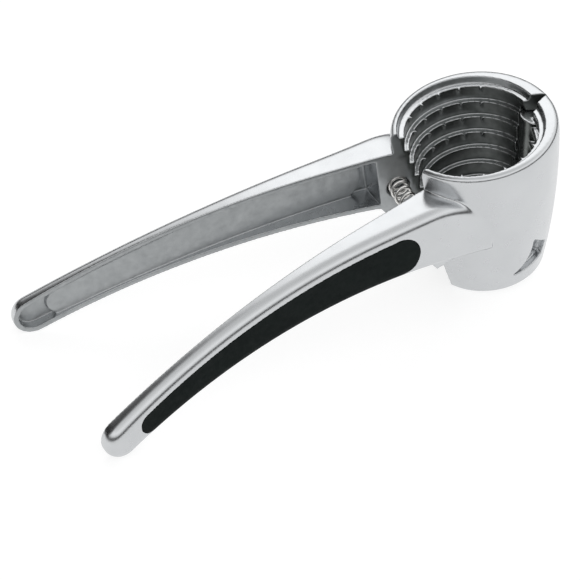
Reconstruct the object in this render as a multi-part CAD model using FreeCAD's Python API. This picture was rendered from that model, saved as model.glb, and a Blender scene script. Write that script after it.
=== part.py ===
"""Lever nutcracker press: two cast levers, each half of a stepped cup, hinged by a pin.

Millimetres. The model rests as it lies on a table, wide open: on the lower edge of the
cup and on both handle tips, with +Z up, the handles towards -X and the hinge pin upright.
The origin is on the table, under the middle of the whole press. Each piece is drawn in the
cup's own upright frame first; settle() leans it over, and place() moves it to the origin.
"""

import FreeCAD
import Part
import math
import os

# Cup
cup_height = 58.0
cup_rim_radius = 27.8
cup_waist_radius = 25.3
cup_waist_height = 30.0
cup_foot_radius = 19.3
rim_straight = 4.0
rim_round = 1.7
foot_round = 1.2

# Cavity of the cup: round ledges that step inwards as they go down
cavity_radius = 24.0
cavity_offset_x = -1.3
cavity_offset_y = 1.0
cavity_taper = 0.6
first_ledge_depth = 2.3
ledge_pitch = 5.7
ledge_step = 1.2
ledge_lip = 0.6
ledge_count = 7
cup_floor = 6.0

# Teeth that stand in from the upper ledges
tooth_levels = 4
teeth_per_ledge = 5
tooth_step_deg = 19.5
tooth_centre_deg = 90.0
tooth_reach = 1.6
tooth_width = 1.9
tooth_root = 1.0
tooth_drop = 4.6

# Hinge
hinge_lean_deg = 8.15
hinge_x_at_rim = 24.6
opening_deg = 24.0
stop_gap = 0.2
mating_reach = 55.6
knuckle_radius = 6.0
knuckle_gap = 0.35
knuckle_levels = (17.0, 35.0, 51.5)
relief_half_deg = 24.0
relief_back = 0.3
pin_radius = 2.0
pin_fit = 0.02
pin_running = 0.06
pin_top_cover = 3.5
pin_recess = 0.6
bore_overrun = 5.0

# Handle
handle_length = 157.5
handle_top = 50.1
handle_top_bend_x = -50.0
handle_top_bend_radius = 300.0
shoulder_x = -29.0
shoulder_radius = 26.0
handle_end_x = -9.0
handle_under = 30.4
handle_under_bend_x = -70.0
handle_under_bend_radius = 280.0
handle_side = 24.0
handle_side_bend_x = -25.0
handle_side_bend_radius = 565.0
handle_inner_root = (-33.2, 11.9)
handle_inner_tip_y = 33.3
outer_edge_round = 3.8
flange = 1.8
wall = 2.3
channel_end_x = -31.5

# Web that carries the underside of the handle down the edge of the cup
web_thickness = 4.0
web_knee = (-26.0, 18.5)
web_inside_x = -15.0

# Grip inlay
inlay_depth = 1.6
inlay_clearance = 0.1
inlay_top_margin = 4.4
inlay_under_margin = 1.9
inlay_root_x = -35.3
inlay_tip_x = -144.0
inlay_pad_border = 1.5

# Spring and its pockets
spring_swing = 47.1
spring_height = 29.6
spring_coil_radius = 3.0
spring_wire = 0.9
spring_pitch = 3.1
pocket_radius = 4.0
pocket_depth = 5.0
spring_seat_gap = 0.1

# Crescent recess low on the outside of each half
recess_depth = 2.6
recess_top = (7.0, 19.8)
recess_right = (13.4, 12.6)
recess_low_right = (11.6, 7.6)
recess_low = (2.0, 6.6)
recess_left = (-1.8, 6.0)
recess_bulge = (5.4, 13.2)

BIG = 400.0
V = FreeCAD.Vector
lean = math.radians(hinge_lean_deg)
half_open = math.radians(opening_deg / 2)
hinge_x_at_base = hinge_x_at_rim - cup_height * math.tan(lean)
hinge_foot = V(hinge_x_at_base * math.cos(lean), 0, hinge_x_at_base * math.sin(lean))


def settle(shape):
    """Lean a shape over from the cup's upright frame to the resting position."""
    out = shape.copy()
    out.rotate(V(0, 0, 0), V(0, 1, 0), -hinge_lean_deg)
    return out


def mirror(shape):
    """The same shape on the other side of the plane between the levers."""
    return shape.mirror(V(0, 0, 0), V(0, 1, 0))


def arc(a, b, c):
    return Part.Arc(a, b, c).toShape()


def line(a, b):
    return Part.LineSegment(a, b).toShape()


def prism(edges, direction):
    """Solid from a closed run of edges, pushed along a direction."""
    wire = Part.Wire(Part.__sortEdges__(edges))
    return Part.Face(wire).extrude(direction)


def polygon_prism(points, direction):
    return Part.Face(Part.makePolygon(points + [points[0]])).extrude(direction)


def cup_body():
    """Outside of the whole cup, turned about its own axis."""
    shoulder = cup_height - rim_straight
    profile = [
        line(V(0, 0, 0), V(cup_foot_radius - foot_round, 0, 0)),
        arc(
            V(cup_foot_radius - foot_round, 0, 0),
            V(cup_foot_radius - 0.29 * foot_round, 0, 0.29 * foot_round),
            V(cup_foot_radius + 0.1, 0, foot_round),
        ),
        arc(
            V(cup_foot_radius + 0.1, 0, foot_round),
            V(cup_waist_radius, 0, cup_waist_height),
            V(cup_rim_radius, 0, shoulder),
        ),
        line(V(cup_rim_radius, 0, shoulder), V(cup_rim_radius, 0, cup_height - rim_round)),
        arc(
            V(cup_rim_radius, 0, cup_height - rim_round),
            V(cup_rim_radius - 0.29 * rim_round, 0, cup_height - 0.29 * rim_round),
            V(cup_rim_radius - rim_round, 0, cup_height),
        ),
        line(V(cup_rim_radius - rim_round, 0, cup_height), V(0, 0, cup_height)),
        line(V(0, 0, cup_height), V(0, 0, 0)),
    ]
    return Part.Face(Part.Wire(profile)).revolve(V(0, 0, 0), V(0, 0, 1), 360)


def ledge_level(n):
    """Height of ledge n, counted from the rim."""
    return cup_height - first_ledge_depth - n * ledge_pitch


def ledge_radius(n):
    """Radius of the sharp inner edge of ledge n; the wall below it falls back by the lip."""
    return cavity_radius - cavity_taper - (n + 1) * ledge_step - ledge_lip


def cavity():
    """Stepped hollow of one half cup, about its own slightly offset axis."""
    centre = V(cavity_offset_x, cavity_offset_y, 0)
    below = ledge_level(0)
    mouth = Part.makeCone(
        cavity_radius - cavity_taper, cavity_radius, cup_height - below, centre + V(0, 0, below)
    )
    steps = [mouth, Part.makeCylinder(cavity_radius, rim_round, centre + V(0, 0, cup_height))]
    for n in range(ledge_count):
        top = ledge_level(n)
        bottom = ledge_level(n + 1) if n < ledge_count - 1 else cup_floor
        lip = ledge_lip if n < ledge_count - 1 else ledge_lip / 2
        steps.append(Part.makeCone(
            ledge_radius(n) + lip, ledge_radius(n), top - bottom, centre + V(0, 0, bottom)
        ))
    return steps[0].fuse(steps[1:]).removeSplitter()


def teeth():
    """Pointed spurs under the upper ledges that bite into the shell of a nut."""
    spurs = []
    for level in range(tooth_levels):
        radius = ledge_radius(level)
        top = ledge_level(level)
        for k in range(teeth_per_ledge):
            turn = tooth_centre_deg + (k - (teeth_per_ledge - 1) / 2) * tooth_step_deg
            root = radius + tooth_root
            half = tooth_width / 2
            spur = pyramid(
                [V(root, -half, top), V(radius - tooth_reach, 0, top), V(root, half, top)],
                V(root, 0, top - tooth_drop),
            )
            spur.rotate(V(0, 0, 0), V(0, 0, 1), turn)
            spur.translate(V(cavity_offset_x, cavity_offset_y, 0))
            spurs.append(spur)
    return spurs


def pyramid(base, tip):
    """Solid between a flat base and one point."""
    faces = [Part.Face(Part.makePolygon(base + [base[0]]))]
    for a, b in zip(base, base[1:] + base[:1]):
        faces.append(Part.Face(Part.makePolygon([a, b, tip, a])))
    return Part.Solid(Part.Shell(faces))


def bend_centre_top():
    return V(handle_top_bend_x, 0, handle_top - handle_top_bend_radius)


def bend_centre_under():
    return V(handle_under_bend_x, 0, handle_under - handle_under_bend_radius)


def on_bend(centre, radius, x):
    """Point of a bend, seen from the side, at a place along the handle."""
    return V(x, 0, centre.z + math.sqrt(radius ** 2 - (x - centre.x) ** 2))


def end_circle(top_inset, under_inset, end_x, toward):
    """Centre and radius of the round end that runs smoothly into both edges of an outline.

    toward is -1 for an end at the tip of the handle and +1 for one at its root.
    """
    upper = handle_top_bend_radius - top_inset
    under = handle_under_bend_radius + under_inset
    ct = bend_centre_top()
    cu = bend_centre_under()

    def centre_for(radius):
        x = end_x - toward * radius
        if x > handle_top_bend_x:
            return V(x, 0, ct.z + upper - radius)
        return on_bend(ct, upper - radius, x)

    small = 0.0
    large = (handle_top - handle_under) / 2 + flange
    for _ in range(60):
        radius = (small + large) / 2
        room = (centre_for(radius) - cu).Length - under - radius
        small, large = (radius, large) if room > 0 else (small, radius)
    return centre_for(radius), radius


def elevation(top_inset, under_inset, tip_x, root_x, round_root=False):
    """Edges of an outline seen from the side, inset from the handle's upper and lower edges."""
    upper = handle_top_bend_radius - top_inset
    under = handle_under_bend_radius + under_inset
    ct = bend_centre_top()
    cu = bend_centre_under()
    nose, nose_radius = end_circle(top_inset, under_inset, tip_x, -1)
    tip_top = ct + (nose - ct) * (upper / (upper - nose_radius))
    tip_under = cu + (nose - cu) * (under / (under + nose_radius))
    flat = V(handle_top_bend_x, 0, ct.z + upper)
    if round_root:
        heel, heel_radius = end_circle(top_inset, under_inset, root_x, 1)
        root_top = heel + V(0, 0, heel_radius)
        root_under = cu + (heel - cu) * (under / (under + heel_radius))
        root = [arc(root_under, heel + V(heel_radius, 0, 0), root_top)]
    else:
        root_top = V(root_x, 0, flat.z)
        root_under = on_bend(cu, under, root_x)
        root = [line(root_under, root_top)]
    return [
        line(root_top, flat),
        arc(flat, on_bend(ct, upper, (tip_top.x + flat.x) / 2), tip_top),
        arc(tip_top, nose - V(nose_radius, 0, 0), tip_under),
        arc(tip_under, on_bend(cu, under, (tip_under.x + root_under.x) / 2), root_under),
    ] + root


def shoulder_cut():
    """What is taken off above the root of the handle, where its top falls to the cup's side."""
    centre = V(shoulder_x, 0, handle_top - shoulder_radius)
    end = on_bend(centre, shoulder_radius, handle_end_x)
    edges = [
        arc(V(shoulder_x, 0, handle_top),
            on_bend(centre, shoulder_radius, (shoulder_x + handle_end_x) / 2), end),
        line(end, V(end.x, 0, handle_top + flange)),
        line(V(end.x, 0, handle_top + flange), V(shoulder_x, 0, handle_top + flange)),
        line(V(shoulder_x, 0, handle_top + flange), V(shoulder_x, 0, handle_top)),
    ]
    return prism(edges, V(0, BIG, 0))


def side_y(x, inset=0.0):
    """Outer side of the handle in plan, at a place along it."""
    radius = handle_side_bend_radius + inset
    reach = math.sqrt(radius ** 2 - (x - handle_side_bend_x) ** 2)
    return handle_side + handle_side_bend_radius - reach


def side_slab(outer_inset, inner_inset, root_x, tip_x):
    """Layer under the outer side of the handle, between two depths."""
    mid = (tip_x + handle_side_bend_x) / 2
    runs = []
    for inset in (outer_inset, inner_inset):
        runs.append([V(x, side_y(x, inset), 0) for x in (tip_x, mid, handle_side_bend_x)])
    outer, inner = runs
    root_outer = V(root_x, outer[2].y, 0)
    root_inner = V(root_x, inner[2].y, 0)
    edges = [
        arc(*outer),
        line(outer[2], root_outer),
        line(root_outer, root_inner),
        line(root_inner, inner[2]),
        arc(*inner),
        line(inner[0], outer[0]),
    ]
    return prism(edges, V(0, 0, BIG))


def handle_block():
    """Solid handle with its rounded outer edges, before the channel is taken out."""
    side = prism(elevation(0, 0, -handle_length, handle_end_x), V(0, BIG, 0))
    side = side.cut(shoulder_cut())
    past_tip = -handle_length - outer_edge_round
    bend = V(handle_side_bend_x, handle_side, 0)
    root_in = V(handle_inner_root[0], handle_inner_root[1], 0)
    slope = (handle_inner_tip_y - root_in.y) / (handle_length + root_in.x)
    root_y = root_in.y - cavity_radius / 3
    tip_in = V(past_tip, handle_inner_tip_y + slope * outer_edge_round, 0)
    tip_out = V(past_tip, side_y(past_tip), 0)
    edges = [
        line(V(handle_end_x, root_y, 0), root_in),
        line(root_in, tip_in),
        line(tip_in, tip_out),
        arc(tip_out, V((past_tip + bend.x) / 2, side_y((past_tip + bend.x) / 2), 0), bend),
        line(bend, V(handle_end_x, handle_side, 0)),
        line(V(handle_end_x, handle_side, 0), V(handle_end_x, root_y, 0)),
    ]
    plan = prism(edges, V(0, 0, BIG))
    block = side.common(plan).removeSplitter()
    return block.makeFillet(outer_edge_round, outer_side_edges(block))


def outer_side_edges(block):
    """Edges all round the outer side of the handle, but for its end inside the cup."""
    found = []
    for edge in block.Edges:
        mid = edge.valueAt((edge.FirstParameter + edge.LastParameter) / 2)
        on_side = abs(mid.y - side_y(min(mid.x, handle_side_bend_x))) < 0.3
        across = edge.BoundBox.XLength + edge.BoundBox.ZLength > outer_edge_round
        vertical = edge.BoundBox.XLength < 0.01
        if on_side and across and not vertical:
            found.append(edge)
    return found


def inlay_outline(grow):
    """Outline of the grip inlay from the side; grow widens it all round."""
    return elevation(
        inlay_top_margin - grow, inlay_under_margin - grow,
        inlay_tip_x - grow, inlay_root_x + grow, round_root=True,
    )


def channel():
    """Hollow on the inner side of the handle, between its two flanges."""
    outline = prism(
        elevation(flange, flange, -handle_length + flange, channel_end_x), V(0, BIG, 0)
    )
    depth = side_slab(wall, BIG / 8, 0.0, -handle_length)
    hollow = outline.common(depth)
    pad = prism(inlay_outline(inlay_pad_border), V(0, BIG, 0))
    pad = pad.common(side_slab(wall - 0.1, inlay_depth + wall, 0.0, -handle_length))
    return hollow.cut(pad)


def web():
    """Thin plate along the edge of the half cup, under the root of the handle."""
    corner = V(handle_inner_root[0], 0, handle_under)
    points = [
        corner,
        V(web_knee[0], 0, web_knee[1]),
        V(web_inside_x, 0, web_knee[1]),
        V(web_inside_x, 0, handle_under + flange),
        V(handle_inner_root[0], 0, handle_under + flange),
    ]
    plate = polygon_prism(points, V(0, BIG, 0))
    slope = math.tan(half_open)
    end = handle_top_bend_x
    reach = (hinge_x_at_rim - end) * slope
    band = polygon_prism(
        [
            V(hinge_x_at_base, 0, 0),
            V(end, reach, 0),
            V(end, reach + web_thickness, 0),
            V(hinge_x_at_base, 2 * web_thickness, 0),
        ],
        V(0, 0, BIG),
    )
    return plate.common(band)


def recess():
    """Crescent scooped out of the outer wall, on one side, near the foot of the cup."""
    def p(pair):
        return V(pair[0], 0, pair[1])

    edges = [
        line(p(recess_top), p(recess_right)),
        line(p(recess_right), p(recess_low_right)),
        line(p(recess_low_right), p(recess_low)),
        line(p(recess_low), p(recess_left)),
        arc(p(recess_left), p(recess_bulge), p(recess_top)),
    ]
    window = prism(edges, V(0, BIG, 0))
    centre = V(0, 0, 0)
    core = Part.makeCone(
        cup_foot_radius - recess_depth, cup_waist_radius - recess_depth,
        cup_waist_height, centre
    )
    return window.cut(core)


def swept_space():
    """What lies beyond one lever's mating faces: the space that its partner keeps."""
    inboard_x = hinge_foot.x - mating_reach
    points = [
        V(hinge_foot.x, 0, -BIG / 2),
        V(inboard_x, mating_reach * math.tan(half_open), -BIG / 2),
        V(inboard_x, -BIG, -BIG / 2),
        V(BIG, -BIG, -BIG / 2),
        V(BIG, stop_gap / 2, -BIG / 2),
        V(hinge_foot.x, stop_gap / 2, -BIG / 2),
    ]
    return polygon_prism(points, V(0, 0, BIG))


def rim_relief():
    """V-shaped notch between the rims at the hinge, above the top knuckle."""
    rim_apex = V(cup_rim_radius, 0, cup_height)
    apex_x = rim_apex.x * math.cos(lean) - rim_apex.z * math.sin(lean) - relief_back
    run = 12.0
    rise = run * math.tan(math.radians(relief_half_deg))
    base = hinge_foot.z + knuckle_levels[2] + knuckle_gap
    points = [V(apex_x, 0, base), V(apex_x - run, rise, base), V(apex_x - run, -rise, base)]
    return polygon_prism(points, V(0, 0, BIG / 4))


def knuckle(low, high, radius):
    """Cylinder about the hinge axis between two heights above the foot of the cup."""
    return Part.makeCylinder(radius, high - low, hinge_foot + V(0, 0, low))


def knuckle_spans(side):
    """Height spans of one lever's knuckles: the near lever has two, the far one sits between."""
    low, high, top = knuckle_levels
    if side == "near":
        return [(-10.0, low), (high, top)]
    return [(low + knuckle_gap, high - knuckle_gap)]


def pocket():
    """Round blind pocket in the mating face that holds one end of the spring."""
    turn = half_open
    mouth = V(
        hinge_foot.x - spring_swing * math.cos(turn),
        spring_swing * math.sin(turn),
        hinge_foot.z + spring_height,
    )
    into = V(math.sin(turn), math.cos(turn), 0)
    return Part.makeCylinder(pocket_radius, pocket_depth + 1.0, mouth - into, into)


def lever(side):
    """One lever: half of the cup, its knuckles and its handle, cast in one piece."""
    outside = cup_body()
    body = outside.fuse([handle_block(), web()])
    body = body.cut([cavity(), channel(), recess()])
    body = body.cut(prism(inlay_outline(inlay_clearance), V(0, BIG, 0)).common(
        side_slab(-1.0, inlay_depth, 0.0, -handle_length)))
    ribs = [rib.common(outside) for rib in teeth()]
    body = body.fuse(ribs)
    body = settle(body)
    body = body.cut([swept_space(), rim_relief()])
    body = keep_largest(body)
    shell = settle(outside)
    if side == "near":
        body = mirror(body)
    other = "far" if side == "near" else "near"
    room = []
    for low, high in knuckle_spans(other):
        room.append(knuckle(low - knuckle_gap, high + knuckle_gap, knuckle_radius + knuckle_gap))
    body = body.cut(room)
    body = keep_largest(body)
    own = []
    for low, high in knuckle_spans(side):
        own.append(knuckle(low, high, knuckle_radius).common(shell))
    body = body.fuse(own)
    fit = pin_fit if side == "near" else pin_running
    below = hinge_foot.z + knuckle_radius + bore_overrun
    bore = Part.makeCylinder(
        pin_radius + fit, knuckle_levels[2] - pin_top_cover + below, hinge_foot - V(0, 0, below)
    )
    spring_hole = pocket() if side == "far" else mirror(pocket())
    body = body.cut([bore, spring_hole])
    return keep_largest(body).removeSplitter()


def keep_largest(shape):
    """Drop loose slivers that a cut has left beside the main solid."""
    return max(shape.Solids, key=lambda solid: solid.Volume)


def inlay(side):
    """Soft grip strip that fills the recess in the outer side of a handle."""
    strip = prism(inlay_outline(0.0), V(0, BIG, 0))
    strip = strip.common(side_slab(-1.0, inlay_depth - inlay_clearance / 2, 0.0, -handle_length))
    strip = settle(strip.common(handle_block()))
    if side == "near":
        strip = mirror(strip)
    return keep_largest(strip)


def hinge_pin():
    """Plain steel pin, from just inside the foot of the cup to the blind end of its bore."""
    low = pin_recess + pin_radius * math.tan(lean)
    high = knuckle_levels[2] - pin_top_cover - pin_fit
    pin = Part.makeCylinder(pin_radius, high - low, hinge_foot + V(0, 0, low))
    return pin


def biarc(p0, t0, p1, t1):
    """Two arcs that join two points with the tangents given at both."""
    v = p1 - p0
    t = t0 + t1
    k = 2 * (1 - t0.dot(t1))
    vt = v.dot(t)
    d = (-vt + math.sqrt(vt * vt + k * v.dot(v))) / k
    q0 = p0 + t0 * d
    q1 = p1 - t1 * d
    join = (q0 + q1) * 0.5
    return [arc_by_corner(p0, q0, join), arc_by_corner(join, q1, p1)]


def arc_by_corner(a, corner, b):
    """Arc from a to b whose end tangents meet at the corner."""
    chord = b - a
    mid = (a + b) * 0.5
    up = corner - mid
    half = math.atan2(up.Length, chord.Length / 2)
    up.normalize()
    return arc(a, mid + up * (chord.Length / 2 * math.tan(half / 2)), b)


def spring_path():
    """Points and tangents of the coil, quarter turn by quarter turn, along its bent axis."""
    seat = pocket_depth - spring_seat_gap - 2.2 * spring_wire
    reach = half_open + math.asin(seat / spring_swing)
    turns = round(2 * reach * spring_swing / spring_pitch * 4) / 4
    steps = int(turns * 4)

    def at(share):
        swing = -reach + 2 * reach * share
        angle = 2 * math.pi * turns * share
        out = V(-math.cos(swing), math.sin(swing), 0)
        centre = hinge_foot + out * spring_swing + V(0, 0, spring_height)
        return centre + out * (spring_coil_radius * math.cos(angle)) + V(
            0, 0, spring_coil_radius * math.sin(angle)
        )

    small = 1e-5
    stations = []
    for n in range(steps + 1):
        share = n / steps
        tangent = at(share + small) - at(share - small)
        tangent.normalize()
        stations.append((at(share), tangent))
    return stations, reach


def spring():
    """Compression spring between the two pockets, bent along the swing of the levers."""
    stations, reach = spring_path()
    edges = []
    for (p0, t0), (p1, t1) in zip(stations, stations[1:]):
        edges += biarc(p0, t0, p1, t1)
    for end, sign in ((stations[0], -1), (stations[-1], 1)):
        swing = sign * reach
        along = V(math.sin(swing), math.cos(swing), 0) * sign
        point, tangent = end
        tangent = tangent * sign
        corner = point + (tangent + along) * spring_wire
        turn = biarc(point, tangent, corner, along)
        straight = line(corner, corner + along * spring_wire)
        edges = edges + turn + [straight] if sign > 0 else [straight] + turn[::-1] + edges
    wire = Part.Wire(Part.__sortEdges__(edges))
    start = wire.OrderedEdges[0]
    first = wire.OrderedVertexes[0].Point
    direction = start.tangentAt(start.FirstParameter)
    ring = Part.Wire(Part.makeCircle(spring_wire / 2, first, direction))
    pipe = Part.BRepOffsetAPI.MakePipeShell(wire)
    pipe.add(ring)
    pipe.build()
    pipe.makeSolid()
    return pipe.shape(), wire


def least_gap(wire):
    """Smallest clear space between two turns, measured on points along the coil."""
    points = wire.discretize(Number=900)
    step = wire.Length / (len(points) - 1)
    skip = int(spring_coil_radius * math.pi / step)
    best = BIG
    for i, p in enumerate(points):
        for q in points[i + skip:]:
            best = min(best, (q - p).Length)
    return best - spring_wire


def place(pieces):
    """Move every piece so that the origin is on the ground under the middle of the press."""
    boxes = [shape.optimalBoundingBox(True, False) for shape in pieces.values()]
    middle_x = (min(b.XMin for b in boxes) + max(b.XMax for b in boxes)) / 2
    middle_y = (min(b.YMin for b in boxes) + max(b.YMax for b in boxes)) / 2
    ground = min(b.ZMin for b in boxes)
    move = V(-middle_x, -middle_y, -ground)
    for shape in pieces.values():
        shape.translate(move)
    return move


def main():
    os.makedirs("parts", exist_ok=True)
    coil, coil_path = spring()
    pieces = {
        "near_lever": lever("near"),
        "far_lever": lever("far"),
        "near_grip_inlay": inlay("near"),
        "far_grip_inlay": inlay("far"),
        "hinge_pin": hinge_pin(),
        "opening_spring": coil,
    }
    move = place(pieces)
    for name, shape in pieces.items():
        if not shape.isValid() or len(shape.Solids) != 1:
            print("check", name, shape.isValid(), len(shape.Solids))
        shape.exportStep("parts/" + name + ".step")
        print(name, round(shape.Volume, 1))
    print("least gap of the coil", round(least_gap(coil_path), 2))
    print("hinge foot", [round(c, 3) for c in hinge_foot + move])
    print("cup foot centre", [round(c, 3) for c in move])


main()
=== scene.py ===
import math

import bmesh
import bpy
import numpy as np
from mathutils import Matrix, Vector


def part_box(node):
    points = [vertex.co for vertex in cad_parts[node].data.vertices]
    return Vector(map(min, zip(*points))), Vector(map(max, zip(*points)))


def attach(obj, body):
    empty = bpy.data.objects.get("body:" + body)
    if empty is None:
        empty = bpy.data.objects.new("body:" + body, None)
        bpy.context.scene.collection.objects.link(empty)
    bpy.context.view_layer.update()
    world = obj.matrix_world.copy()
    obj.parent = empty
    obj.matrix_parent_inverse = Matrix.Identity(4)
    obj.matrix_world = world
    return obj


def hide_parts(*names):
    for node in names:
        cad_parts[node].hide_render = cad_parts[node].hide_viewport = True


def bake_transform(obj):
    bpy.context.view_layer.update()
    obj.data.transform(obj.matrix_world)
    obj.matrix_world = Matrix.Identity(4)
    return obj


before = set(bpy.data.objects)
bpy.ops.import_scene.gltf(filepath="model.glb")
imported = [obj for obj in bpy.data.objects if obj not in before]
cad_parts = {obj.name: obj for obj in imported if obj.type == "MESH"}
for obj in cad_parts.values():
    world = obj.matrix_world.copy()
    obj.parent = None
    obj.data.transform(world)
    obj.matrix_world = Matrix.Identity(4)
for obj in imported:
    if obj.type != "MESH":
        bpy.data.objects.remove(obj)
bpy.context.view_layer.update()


# Cast levers
# Each lever is one aluminium die casting: half of the stepped, toothed cup, its hinge
# knuckles, and a handle that is hollow on its inner side. Castings are tumbled, so every
# edge is soft, and the outside is polished to satin while the inside stays as it was cast.
# The walls inside the cup and in the gap by the hinge carry painted shade, a much darker colour.

# Lengths are in metres. The cup's own frame has its origin in the middle of the foot.
skin_cell = 0.00027
tumbling_passes = 4
polishing_passes = 40
fillet_passes = 36
settling_passes = 2
most_triangles = 190_000
flat_below = math.radians(11)
edge_above = math.radians(20)
half_open = math.radians(12)
hinge = np.array((0.085528, 0, 0.005154))
foot = np.array((0.069399, 0, 0.002844))
cup_lean = math.radians(8.15)
cup_axis = np.array((-math.sin(cup_lean), 0, math.cos(cup_lean)))
cup_across = np.array((math.cos(cup_lean), 0, math.sin(cup_lean)))
cup_height = 0.058
mouth_radius = 0.02415
mouth_offset = 0.0013
mouth_draw = 0.14
cavity_floor = 0.0055
foot_radius = 0.0193
wall_slope = 0.2532
wall_curve = -1.775
crown_height = 0.0492
crown_fall_x = -0.025
crown_fall_radius = 0.0098
root_end_x = -0.005
root_low = 0.026
blend_reach = 0.001
recess_x = (-0.0015, 0.0145)
recess_z = (0.0055, 0.0205)
recess_depth = 0.003
recess_softness = 0.5
knuckle_reach = 0.011
polished_tones = (0.575, 0.588, 0.60), (0.60, 0.613, 0.625)
as_cast_tones = (0.35, 0.365, 0.372), (0.41, 0.425, 0.432)
# Painted shade: a much darker colour for the walls inside the cup and in the gap by the hinge.
painted_shade_tones = (0.13, 0.14, 0.135), (0.19, 0.20, 0.195)
polished_gloss = 0.24, 0.28
as_cast_gloss = 0.38, 0.5
grain_depth = 0.00004


def linked(name, data):
    """A new object of the scene, for a mesh, lamp or camera."""
    piece = bpy.data.objects.new(name, data)
    bpy.context.collection.objects.link(piece)
    return piece


def plain_mesh(piece):
    """The finished mesh of a piece, with its modifiers worked in and removed."""
    seen = piece.evaluated_get(bpy.context.evaluated_depsgraph_get())
    mesh = bpy.data.meshes.new_from_object(seen)
    mesh.name = piece.name
    piece.modifiers.clear()
    piece.data = mesh
    return mesh


def soft_step(value, low, high):
    """0 below the low end, 1 above the high end and a smooth rise between them."""
    part = np.clip((value - low) / (high - low), 0, 1)
    return part * part * (3 - 2 * part)


def soft_band(value, ends, fade):
    """1 between two ends, fading to 0 outside them."""
    low, high = ends
    return soft_step(value, low - fade, low) * (1 - soft_step(value, high, high + fade))


def read_points(items, field):
    """One row of three numbers for each vertex or normal of a mesh."""
    flat = np.empty(len(items) * 3)
    items.foreach_get(field, flat)
    return flat.reshape(-1, 3)


def in_cup_frame(points):
    """Places seen along the cup's own axis, from the middle of its foot."""
    reach = points - foot
    return reach @ cup_across, reach[:, 1], reach @ cup_axis


def off_wall(x, y, z):
    """Distance outwards from the cup's outer wall, in the cup's own frame."""
    return np.hypot(x, y) - (foot_radius + wall_slope * z + wall_curve * z * z)


def split_normal(side):
    """Direction from the face where a lever is split off towards the other lever."""
    return np.array((-math.sin(half_open), side * math.cos(half_open), 0))


def inner_face(normals, side):
    """1 on faces that look at the other lever, 0 elsewhere."""
    return soft_step(normals @ split_normal(side), 0.35, 0.75)


def painted_shade_wall(points, normals, side):
    """Painted shade: 1 on walls inside the cup and in the gap by the hinge, 0 on ledges and
    outside.
    """
    x, y, z = in_cup_frame(points)
    room = mouth_radius - mouth_draw * (cup_height - z) - np.hypot(x + mouth_offset, y)
    in_cup = soft_step(room, -0.0001, 0.0003) * soft_step(z, cavity_floor, cavity_floor + 0.001)
    upright = 1 - soft_step(normals @ cup_axis, 0.35, 0.8)
    to_hinge = np.hypot(*(points - hinge).T[:2])
    in_gap = inner_face(normals, side) * soft_band(to_hinge, (0, knuckle_reach), 0.003)
    return np.maximum(in_cup * upright, in_gap)


def root_blend(points, side):
    """1 where the handle runs into the cup's wall, fading out a few millimetres away."""
    x, y, z = in_cup_frame(points)
    outwards = off_wall(x, y, z)
    crown = crown_height - np.maximum(x - crown_fall_x, 0) ** 2 / (2 * crown_fall_radius)
    away = np.hypot(np.maximum(outwards, 0), np.maximum(z - crown, 0))
    near = 1 - soft_step(away, blend_reach, blend_reach + 0.0035)
    outside = soft_step(outwards, -0.0012, -0.0006)
    behind_split = soft_step((hinge - points) @ split_normal(side), 0.001, 0.004)
    at_root = soft_step(root_end_x - x, 0, 0.003) * soft_step(z, root_low, root_low + 0.008)
    return near * outside * behind_split * at_root


def recess_edge(points):
    """Highest round the recess low on the outside of the cup, fading out past its edges."""
    x, y, z = in_cup_frame(points)
    within = soft_band(x, recess_x, 0.0025) * soft_band(z, recess_z, 0.002)
    near_wall = soft_step(off_wall(x, y, z), -recess_depth - 0.0006, -recess_depth)
    return recess_softness * within * near_wall


def flat_parts(mesh):
    """1 where a mesh is nearly flat, 0 along its edges and corners."""
    normals = read_points(mesh.vertex_normals, "vector")
    ends = np.empty(len(mesh.edges) * 2, dtype=np.int64)
    mesh.edges.foreach_get("vertices", ends)
    ends = ends.reshape(-1, 2)
    agreement = np.einsum("ij,ij->i", normals[ends[:, 0]], normals[ends[:, 1]])
    worst = np.ones(len(normals))
    np.minimum.at(worst, ends.ravel(), np.repeat(agreement, 2))
    return soft_step(worst, math.cos(edge_above), math.cos(flat_below))


def weight_group(piece, name, weights):
    """Vertex group with its weights in tenths."""
    group = piece.vertex_groups.new(name=name)
    steps = np.round(weights, 1)
    for step in np.unique(steps[steps > 0]):
        group.add(np.flatnonzero(steps == step).tolist(), float(step), "REPLACE")


def smoothing(piece, name, passes, group="", factor=0.5):
    """Smoothing of a whole piece, or of one vertex group."""
    modifier = piece.modifiers.new(name, "SMOOTH")
    modifier.factor = factor
    modifier.iterations = passes
    modifier.vertex_group = group


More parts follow.
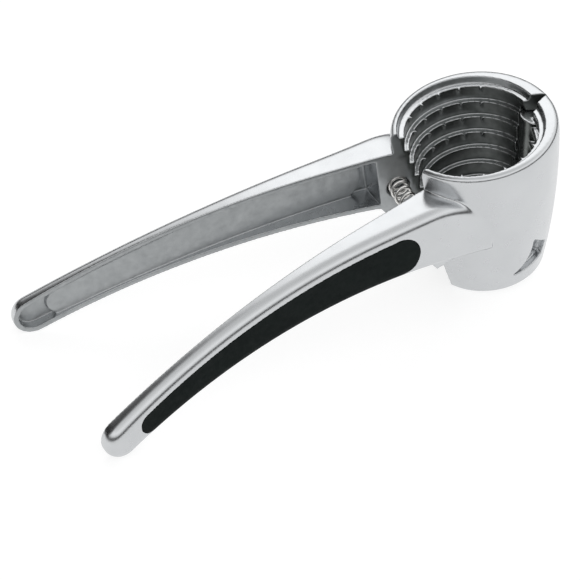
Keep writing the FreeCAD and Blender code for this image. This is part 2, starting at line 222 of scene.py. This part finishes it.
def tumbled_casting(name, node, side):
    """A lever's solid with its edges worn soft and the root of its handle blended in."""
    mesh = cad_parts[node].data.copy()
    mesh.materials.clear()
    shell = bmesh.new()
    shell.from_mesh(mesh)
    bmesh.ops.remove_doubles(shell, verts=shell.verts, dist=1e-6)
    shell.to_mesh(mesh)
    shell.free()
    piece = linked(name, mesh)
    skin = piece.modifiers.new("skin", "REMESH")
    skin.mode = "VOXEL"
    skin.voxel_size = skin_cell
    skin.use_smooth_shade = True
    mesh = plain_mesh(piece)
    smoothing(piece, "worn", tumbling_passes)
    mesh = plain_mesh(piece)
    weight_group(piece, "flats", flat_parts(mesh))
    points = read_points(mesh.vertices, "co")
    weight_group(piece, "blends", np.maximum(root_blend(points, side), recess_edge(points)))
    smoothing(piece, "polished", polishing_passes, "flats")
    smoothing(piece, "blended", fillet_passes, "blends", factor=0.8)
    thinned = piece.modifiers.new("thinned", "DECIMATE")
    thinned.ratio = min(1.0, most_triangles / (2 * len(mesh.polygons)))
    smoothing(piece, "settled", settling_passes)
    mesh = plain_mesh(piece)
    piece.vertex_groups.clear()
    points = read_points(mesh.vertices, "co")
    normals = read_points(mesh.vertex_normals, "vector")
    for label, values in (
        ("painted_shade_wall", painted_shade_wall(points, normals, side)),
        ("inner_face", inner_face(normals, side)),
    ):
        mesh.attributes.new(label, "FLOAT", "POINT").data.foreach_set("value", values)
    return piece


def new_material(name):
    """A material with its node tree and its shader."""
    material = bpy.data.materials.new(name)
    material.use_nodes = True
    tree = material.node_tree
    shader = tree.nodes["Principled BSDF"]
    return material, tree, shader


def grain(tree, size, detail, stretch=(1, 1, 1)):
    """Noise in the piece's own place, with features about size metres across."""
    where = tree.nodes.new("ShaderNodeTexCoord")
    spread = tree.nodes.new("ShaderNodeMapping")
    spread.inputs["Scale"].default_value = stretch
    noise = tree.nodes.new("ShaderNodeTexNoise")
    noise.inputs["Scale"].default_value = 1 / size
    noise.inputs["Detail"].default_value = detail
    tree.links.new(where.outputs["Object"], spread.inputs["Vector"])
    tree.links.new(spread.outputs["Vector"], noise.inputs["Vector"])
    return noise.outputs["Fac"]


def ramp(tree, source, stops):
    """Colour ramp fed by a value; stops are (position, grey or colour)."""
    node = tree.nodes.new("ShaderNodeValToRGB")
    marks = node.color_ramp.elements
    while len(marks) < len(stops):
        marks.new(0.5)
    for mark, (position, colour) in zip(marks, stops):
        mark.position = position
        if isinstance(colour, float):
            colour = (colour, colour, colour)
        mark.color = (*colour, 1)
    tree.links.new(source, node.inputs["Fac"])
    return node.outputs["Color"]


def mottled(tree, size, detail, pair):
    """Noise that runs between two tones or two values."""
    low, high = pair
    return ramp(tree, grain(tree, size, detail), [(0.3, low), (0.7, high)])


def mixed(tree, amount, first, second, kind="MIX"):
    """First colour where amount is 0, second where it is 1."""
    node = tree.nodes.new("ShaderNodeMix")
    node.data_type = "RGBA"
    node.blend_type = kind
    if isinstance(amount, float):
        node.inputs[0].default_value = amount
    else:
        tree.links.new(amount, node.inputs[0])
    tree.links.new(first, node.inputs[6])
    tree.links.new(second, node.inputs[7])
    return node.outputs[2]


def bump(tree, height, shader, distance):
    """Fine relief on a shader, distance metres deep."""
    node = tree.nodes.new("ShaderNodeBump")
    node.inputs["Distance"].default_value = distance
    tree.links.new(height, node.inputs["Height"])
    tree.links.new(node.outputs["Normal"], shader.inputs["Normal"])


def marked(tree, name):
    """Value of a mesh attribute."""
    mark = tree.nodes.new("ShaderNodeAttribute")
    mark.attribute_name = name
    return mark.outputs["Fac"]


cast_metal, tree, shader = new_material("cast_metal")
shader.inputs["Metallic"].default_value = 1.0
inner = marked(tree, "inner_face")
walls = marked(tree, "painted_shade_wall")
polished = mottled(tree, 0.012, 3, polished_tones)
as_cast = mottled(tree, 0.003, 5, as_cast_tones)
# Painted shade: a much darker tone on the walls inside the cup and in the gap by the hinge.
painted_wall_shade = mottled(tree, 0.003, 5, painted_shade_tones)
tone = mixed(tree, walls, mixed(tree, inner, polished, as_cast), painted_wall_shade)
tree.links.new(tone, shader.inputs["Base Color"])
polished_finish = mottled(tree, 0.004, 4, polished_gloss)
as_cast_finish = mottled(tree, 0.002, 4, as_cast_gloss)
finish = mixed(tree, inner, polished_finish, as_cast_finish)
tree.links.new(finish, shader.inputs["Roughness"])
fine = ramp(tree, grain(tree, 0.0004, 2), [(0.0, 0.45), (1.0, 0.55)])
coarse = ramp(tree, grain(tree, 0.0007, 4), [(0.0, 0.0), (1.0, 1.0)])
bump(tree, mixed(tree, inner, fine, coarse), shader, grain_depth)

for name, node, body, side in (
    ("near_casting", "near_lever", "near_side", 1),
    ("far_casting", "far_lever", "far_side", -1),
):
    casting = tumbled_casting(name, node, side)
    casting.data.materials.append(cast_metal)
    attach(casting, body)
    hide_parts(node)


# Grip inlays
# A strip of soft black rubber is moulded into the recess on the outer side of each handle.
# It is matte, very slightly green, with a fine moulded grain.

rubber_tones = (0.004, 0.0075, 0.007), (0.007, 0.012, 0.011)
rubber_gloss = 0.55, 0.68
rubber_shine = 0.12
moulded_grain = 0.00005

soft_rubber, tree, shader = new_material("soft_rubber")
tree.links.new(mottled(tree, 0.011, 3, rubber_tones), shader.inputs["Base Color"])
tree.links.new(mottled(tree, 0.002, 3, rubber_gloss), shader.inputs["Roughness"])
shader.inputs["Specular IOR Level"].default_value = rubber_shine
bump(tree, grain(tree, 0.0004, 2), shader, moulded_grain)

for name in ("near_grip_inlay", "far_grip_inlay"):
    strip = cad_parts[name]
    strip.data.materials.clear()
    strip.data.materials.append(soft_rubber)


# Hinge pin
# A turned steel pin, pressed into the near lever from below; the far lever turns on it.
# The knuckles hide it, apart from its lower end under the cup.

steel_tones = (0.66, 0.66, 0.67), (0.72, 0.72, 0.73)
steel_gloss = [(0.3, 0.18), (0.7, 0.3)]
turning_depth = 0.00003

turned_steel, tree, shader = new_material("turned_steel")
shader.inputs["Metallic"].default_value = 1.0
tree.links.new(mottled(tree, 0.002, 3, steel_tones), shader.inputs["Base Color"])
turning_lines = grain(tree, 0.0015, 2, stretch=(1, 1, 12))
tree.links.new(ramp(tree, turning_lines, steel_gloss), shader.inputs["Roughness"])
bump(tree, turning_lines, shader, turning_depth)

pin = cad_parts["hinge_pin"]
pin.data.materials.clear()
pin.data.materials.append(turned_steel)


# Opening spring
# A compression spring of bright round wire sits in two pockets in the mating faces and
# pushes the levers apart. Its axis bends along the swing, and its end turns lie closed.

spring_swing = 0.0471
spring_height = 0.0296
coil_radius = 0.0029
wire_radius = 0.00055
turns = 9.5
points_per_turn = 28
points_round_wire = 14
closing = 0.35
end_room = 1.6
swing_room = 0.0002
wire_tones = (0.78, 0.77, 0.75), (0.84, 0.83, 0.81)
wire_gloss = 0.24, 0.34
drawing_depth = 0.00001

bright_wire, tree, shader = new_material("bright_wire")
shader.inputs["Metallic"].default_value = 1.0
tree.links.new(mottled(tree, 0.001, 2, wire_tones), shader.inputs["Base Color"])
tree.links.new(mottled(tree, 0.0007, 2, wire_gloss), shader.inputs["Roughness"])
bump(tree, grain(tree, 0.0003, 2), shader, drawing_depth)


def number_node(tree, kind, *values):
    """One sum on numbers or on the outputs of other nodes."""
    node = tree.nodes.new("ShaderNodeMath")
    node.operation = kind
    for socket, value in zip(node.inputs, values):
        if isinstance(value, (int, float)):
            socket.default_value = value
        else:
            tree.links.new(value, socket)
    return node.outputs[0]


def coil_tree(material):
    """Wire wound round an axis that bends about the hinge; its sizes are named inputs."""
    tree = bpy.data.node_groups.new("wound_spring", "GeometryNodeTree")
    tree.interface.new_socket("Wire", in_out="OUTPUT", socket_type="NodeSocketGeometry")
    kinds = dict.fromkeys(
        ("Swing", "Half Span", "Coil Radius", "Wire Radius", "Turns", "Closing"),
        "NodeSocketFloat",
    )
    kinds["Centre"] = "NodeSocketVector"
    sizes = {}
    for name, kind in kinds.items():
        socket = tree.interface.new_socket(name, in_out="INPUT", socket_type=kind)
        sizes[name] = socket.identifier
    given = tree.nodes.new("NodeGroupInput").outputs

    def sums(kind, *values):
        return number_node(tree, kind, *values)

    # The share along the wire eases at both ends, where the turns lie closer.
    line = tree.nodes.new("GeometryNodeCurvePrimitiveLine")
    steps = tree.nodes.new("GeometryNodeResampleCurve")
    steps.mode = "COUNT"
    tree.links.new(sums("MULTIPLY", given["Turns"], points_per_turn), steps.inputs["Count"])
    tree.links.new(line.outputs["Curve"], steps.inputs["Curve"])
    along = tree.nodes.new("GeometryNodeSplineParameter").outputs["Factor"]
    full_turn = sums("MULTIPLY", along, 2 * math.pi)
    slack = sums("DIVIDE", sums("SINE", full_turn), 2 * math.pi)
    eased = sums("SUBTRACT", along, sums("MULTIPLY", slack, given["Closing"]))
    across = sums("SUBTRACT", sums("MULTIPLY", eased, 2.0), 1.0)
    swing_angle = sums("MULTIPLY", across, given["Half Span"])
    coil_angle = sums("MULTIPLY", full_turn, given["Turns"])

    # Each point lies on the coil's circle, swung about the hinge.
    out = sums("MULTIPLY", sums("COSINE", coil_angle), given["Coil Radius"])
    rise = sums("MULTIPLY", sums("SINE", coil_angle), given["Coil Radius"])
    reach = sums("ADD", given["Swing"], out)
    back = sums("MULTIPLY", reach, sums("COSINE", swing_angle))
    sideways = sums("MULTIPLY", reach, sums("SINE", swing_angle))
    place = tree.nodes.new("ShaderNodeCombineXYZ")
    tree.links.new(sums("MULTIPLY", back, -1.0), place.inputs["X"])
    tree.links.new(sideways, place.inputs["Y"])
    tree.links.new(rise, place.inputs["Z"])
    moved = tree.nodes.new("ShaderNodeVectorMath")
    moved.operation = "ADD"
    tree.links.new(place.outputs[0], moved.inputs[0])
    tree.links.new(given["Centre"], moved.inputs[1])
    wound = tree.nodes.new("GeometryNodeSetPosition")
    tree.links.new(steps.outputs["Curve"], wound.inputs["Geometry"])
    tree.links.new(moved.outputs[0], wound.inputs["Position"])

    section = tree.nodes.new("GeometryNodeCurvePrimitiveCircle")
    section.inputs["Resolution"].default_value = points_round_wire
    tree.links.new(given["Wire Radius"], section.inputs["Radius"])
    wire = tree.nodes.new("GeometryNodeCurveToMesh")
    wire.inputs["Fill Caps"].default_value = True
    tree.links.new(wound.outputs["Geometry"], wire.inputs["Curve"])
    tree.links.new(section.outputs["Curve"], wire.inputs["Profile Curve"])
    whole = tree.nodes.new("GeometryNodeRealizeInstances")
    tree.links.new(wire.outputs["Mesh"], whole.inputs[0])
    finish = tree.nodes.new("GeometryNodeSetMaterial")
    finish.inputs["Material"].default_value = material
    tree.links.new(whole.outputs[0], finish.inputs["Geometry"])
    tree.links.new(finish.outputs["Geometry"], tree.nodes.new("NodeGroupOutput").inputs[0])
    return tree, sizes


low, high = (Vector(corner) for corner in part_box("opening_spring"))
half_span = math.asin((high.y - wire_radius * end_room) / (spring_swing + swing_room))
coil = linked("spring_wire", bpy.data.meshes.new("spring_wire"))
winding = coil.modifiers.new("winding", "NODES")
winding.node_group, sizes = coil_tree(bright_wire)
for name, value in (
    ("Swing", spring_swing),
    ("Half Span", half_span),
    ("Coil Radius", coil_radius),
    ("Wire Radius", wire_radius),
    ("Turns", turns),
    ("Closing", closing),
    ("Centre", (hinge[0], hinge[1], hinge[2] + spring_height)),
):
    winding[sizes[name]] = value
plain_mesh(coil)
coil.data.shade_smooth()
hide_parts("opening_spring")
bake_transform(coil)


# Table and light
# A plain pale table, a broad soft light overhead and a dark gap low round the horizon, as in
# a light tent, so that the satin metal shows white tops, grey sides and dark edge lines.

table_size = 6
table_drop = 0.0002
table_show = 0.79
table_tone = 0.34
tent_bands = [(0.0, 0.8), (0.04, 0.05), (0.28, 0.05), (0.45, 1.05), (0.7, 1.25), (1.0, 0.75)]
flag_towards = (-0.6, 0.45, 0.62)
flag_edge = [(0.80, 1.0), (0.92, 0.03)]
lamp_place = (0.35, 0.65, 0.75)
lamp_width = 0.7
lamp_height = 0.5
lamp_radiance = 0.45

pale_table, tree, shader = new_material("pale_table")
shader.inputs["Base Color"].default_value = (table_tone, table_tone, table_tone, 1)
shader.inputs["Roughness"].default_value = 0.9
shader.inputs["Specular IOR Level"].default_value = 0.0
rays = tree.nodes.new("ShaderNodeLightPath").outputs
seen = number_node(tree, "MAXIMUM", rays["Is Camera Ray"], rays["Is Glossy Ray"])
seen = number_node(tree, "MAXIMUM", seen, rays["Is Transmission Ray"])
shader.inputs["Emission Color"].default_value = (1, 1, 1, 1)
tree.links.new(number_node(tree, "MULTIPLY", seen, table_show), shader.inputs["Emission Strength"])

bpy.ops.mesh.primitive_plane_add(size=table_size, location=(0, 0, -table_drop))
table = bpy.context.active_object
table.name = "table"
table.data.materials.append(pale_table)

world = bpy.data.worlds.new("studio")
bpy.context.scene.world = world
world.use_nodes = True
tree = world.node_tree
sky = tree.nodes["Background"]
sky.inputs["Strength"].default_value = 1.0
direction = tree.nodes.new("ShaderNodeTexCoord").outputs["Generated"]
split = tree.nodes.new("ShaderNodeSeparateXYZ")
tree.links.new(direction, split.inputs[0])
tent = ramp(tree, split.outputs["Z"], tent_bands)
flag = tree.nodes.new("ShaderNodeVectorMath")
flag.operation = "DOT_PRODUCT"
flag.inputs[1].default_value = Vector(flag_towards).normalized()
tree.links.new(direction, flag.inputs[0])
shade = ramp(tree, flag.outputs["Value"], flag_edge)
tree.links.new(mixed(tree, 1.0, tent, shade, "MULTIPLY"), sky.inputs["Color"])


lamp = bpy.data.lights.new("top_light", "AREA")
lamp.shape = "RECTANGLE"
lamp.size = lamp_width
lamp.size_y = lamp_height
lamp.energy = lamp_radiance * math.pi * lamp_width * lamp_height
stand = linked("top_light", lamp)
stand.location = lamp_place
stand.rotation_euler = (-Vector(lamp_place)).to_track_quat("-Z", "Y").to_euler()


# Camera
# It looks at the press from above its near side, from far off with a long lens. The focal
# length is in pixels of the square picture.

aim = Vector((-0.02529, -0.03649, 0.04788))
ahead = Vector((0.36643, 0.68023, -0.63484)).normalized()
right = Vector((0.88823, -0.45891, 0.02097)).normalized()
distance = 1.2621
focal_pixels = 4001
picture_pixels = 580
sensor_width = 36

lens = bpy.data.cameras.new("camera")
lens.lens = focal_pixels * sensor_width / picture_pixels
lens.clip_start = 0.05
camera = linked("camera", lens)
turned = Matrix((right, right.cross(ahead), -ahead)).transposed()
camera.matrix_world = Matrix.Translation(aim - ahead * distance) @ turned.to_4x4()
bpy.context.scene.camera = camera
bpy.context.scene.view_settings.view_transform = "Standard"
